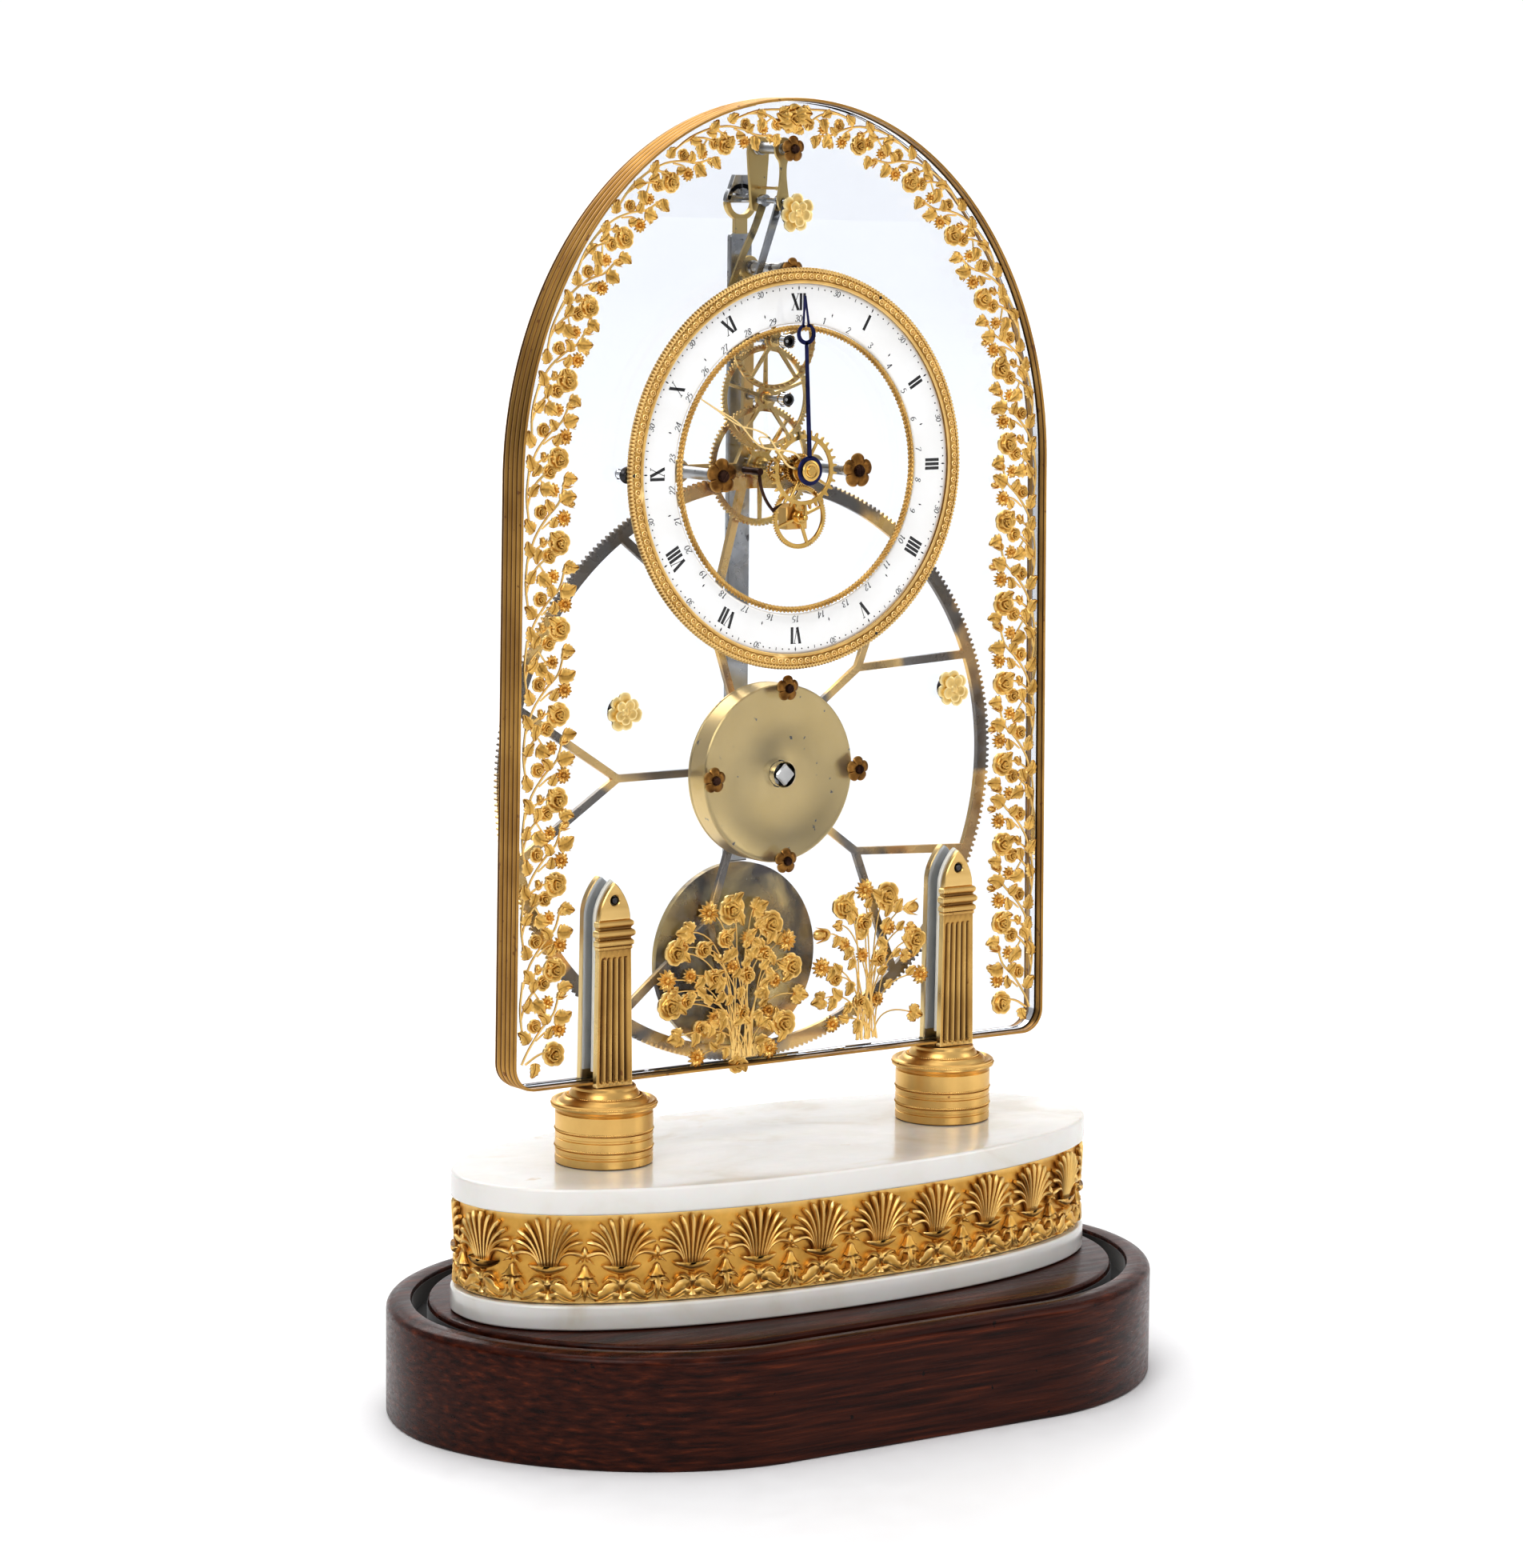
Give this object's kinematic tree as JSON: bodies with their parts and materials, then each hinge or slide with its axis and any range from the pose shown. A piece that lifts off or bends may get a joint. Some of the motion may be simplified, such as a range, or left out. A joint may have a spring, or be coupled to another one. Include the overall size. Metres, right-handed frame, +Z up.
{
  "type": "skeleton clock",
  "caption": "Free-standing skeleton clock on an arched glass plate, with an enamel dial ring, a large great wheel and a pendulum, on a marble and gilt base with a mahogany plinth.",
  "frame": {"origin": "middle of the plinth's underside, on the table", "axes": "+Z up, the dial faces -Y, +X to the viewer's right"},
  "size_m": [0.2978, 0.1852, 0.4592],
  "materials": {
    "mahogany": "French polished, lighter along the worn top edge",
    "marble": "polished white marble with faint grey veins",
    "core_wood": "plain sawn wood, hidden",
    "ormolu": "chased and fire-gilt, burnished on the high points and matted in the ground",
    "polished_brass": "polished pale brass with small pits",
    "dark_brass": "brown patinated brass",
    "steel": "bright steel with grey spots",
    "blued_steel": "heat-blued",
    "brown_spring": "straw-brown tempered spring steel",
    "enamel": "white glossy fired enamel",
    "glass": "clear polished plate glass",
    "dial_ink": "black fired enamel numerals",
    "groove_black": "black felt in the dome groove",
    "clamp_pad": "white kid leather pads between pilasters and glass"
  },
  "bodies": {
    "root": {"barrel_cover": "polished_brass", "barrel_drum": "polished_brass", "barrel_nut_bottom": "dark_brass", "barrel_nut_left": "dark_brass", "barrel_nut_right": "dark_brass", "barrel_nut_top": "dark_brass", "base_core": "core_wood", "date_cock": "ormolu", "date_jumper": "brown_spring", "dial_bezel": "ormolu", "dial_inner_rim": "ormolu", "dial_ring": "enamel", "edge_band": "ormolu", "frieze_band": "ormolu", "front_hanger": "polished_brass", "glass_plate": "glass", "left_bouquet": "ormolu", "left_clamp_screw": "steel", "left_dial_pillar": "steel", "left_front_pilaster": "ormolu", "left_movement_pillar": "dark_brass", "left_pedestal": "ormolu", "left_rear_pilaster": "ormolu", "left_rosette": "ormolu", "lower_dial_pillar": "steel", "lower_marble_slab": "marble", "mainspring": "steel", "pallet_bracket": "polished_brass", "plinth_band": "mahogany", "plinth_core": "mahogany", "plinth_panel": "mahogany", "rear_hanger": "polished_brass", "rear_movement_plate": "polished_brass", "right_bouquet": "ormolu", "right_clamp_screw": "steel", "right_front_pilaster": "ormolu", "right_movement_pillar": "dark_brass", "right_pedestal": "ormolu", "right_rear_pilaster": "ormolu", "right_rosette": "ormolu", "rose_garland": "ormolu", "top_movement_pillar": "dark_brass", "top_rosette": "ormolu", "upper_dial_pillar": "steel", "upper_marble_slab": "marble"},
    "great_wheel": {"great_wheel": "polished_brass"},
    "winding_arbor": {"winding_arbor": "steel"},
    "click": {"click": "steel"},
    "center_arbor": {"center_arbor": "polished_brass"},
    "third_wheel": {"third_wheel": "polished_brass"},
    "escape_wheel": {"escape_wheel": "polished_brass"},
    "minute_wheel": {"minute_wheel": "polished_brass"},
    "hour_hand": {"hour_wheel": "polished_brass", "hour_hand": "blued_steel"},
    "day_wheel": {"day_wheel": "polished_brass"},
    "date_hand": {"date_wheel": "polished_brass", "date_hand": "ormolu"},
    "pallets": {"pallets": "steel"},
    "pendulum": {"pendulum_rod": "steel", "pendulum_bob": "polished_brass"}
  },
  "joints": [
    {"name": "center_turn", "type": "hinge", "parent": "root", "child": "center_arbor", "pos_m": [0, 0, 0.3301], "axis": [0, 1, 0], "continuous": true},
    {"name": "great_wheel_turn", "type": "hinge", "parent": "root", "child": "great_wheel", "pos_m": [0, 0, 0.2215], "axis": [0, 1, 0], "continuous": true},
    {"name": "third_wheel_turn", "type": "hinge", "parent": "root", "child": "third_wheel", "pos_m": [0, 0, 0.3541], "axis": [0, 1, 0], "continuous": true},
    {"name": "escape_wheel_turn", "type": "hinge", "parent": "root", "child": "escape_wheel", "pos_m": [0, 0, 0.3745], "axis": [0, 1, 0], "continuous": true},
    {"name": "minute_wheel_turn", "type": "hinge", "parent": "root", "child": "minute_wheel", "pos_m": [-0.006, 0, 0.3301], "axis": [0, 1, 0], "continuous": true},
    {"name": "hour_hand_turn", "type": "hinge", "parent": "root", "child": "hour_hand", "pos_m": [0, 0, 0.3301], "axis": [0, 1, 0], "continuous": true},
    {"name": "day_wheel_turn", "type": "hinge", "parent": "root", "child": "day_wheel", "pos_m": [0, 0, 0.3135], "axis": [0, 1, 0], "continuous": true},
    {"name": "date_hand_turn", "type": "hinge", "parent": "root", "child": "date_hand", "pos_m": [0, 0, 0.3301], "axis": [0, 1, 0], "continuous": true},
    {"name": "pendulum_swing", "type": "hinge", "parent": "root", "child": "pendulum", "pos_m": [0, 0, 0.4232], "axis": [0, 1, 0], "range_deg": [-3.5, 3.5]},
    {"name": "pallet_rock", "type": "hinge", "parent": "root", "child": "pallets", "pos_m": [0, 0, 0.4232], "axis": [0, 1, 0], "range_deg": [-3.5, 3.5]},
    {"name": "winding_turn", "type": "hinge", "parent": "great_wheel", "child": "winding_arbor", "pos_m": [0, 0, 0.2215], "axis": [0, 1, 0], "range_deg": [0, 2160]},
    {"name": "click_lift", "type": "hinge", "parent": "great_wheel", "child": "click", "pos_m": [0.0115, 0, 0.23], "axis": [0, 1, 0], "range_deg": [-12, 0]}
  ],
  "couplings": [
    {"joint": "great_wheel_turn", "follows": "center_turn", "ratio": -0.032051},
    {"joint": "third_wheel_turn", "follows": "center_turn", "ratio": -8},
    {"joint": "escape_wheel_turn", "follows": "center_turn", "ratio": 80},
    {"joint": "minute_wheel_turn", "follows": "center_turn", "ratio": -0.33333},
    {"joint": "hour_hand_turn", "follows": "center_turn", "ratio": 0.083333},
    {"joint": "day_wheel_turn", "follows": "center_turn", "ratio": -0.041667},
    {"joint": "date_hand_turn", "follows": "center_turn", "ratio": 0.0013889},
    {"joint": "pallet_rock", "follows": "pendulum_swing", "ratio": 1}
  ]
}
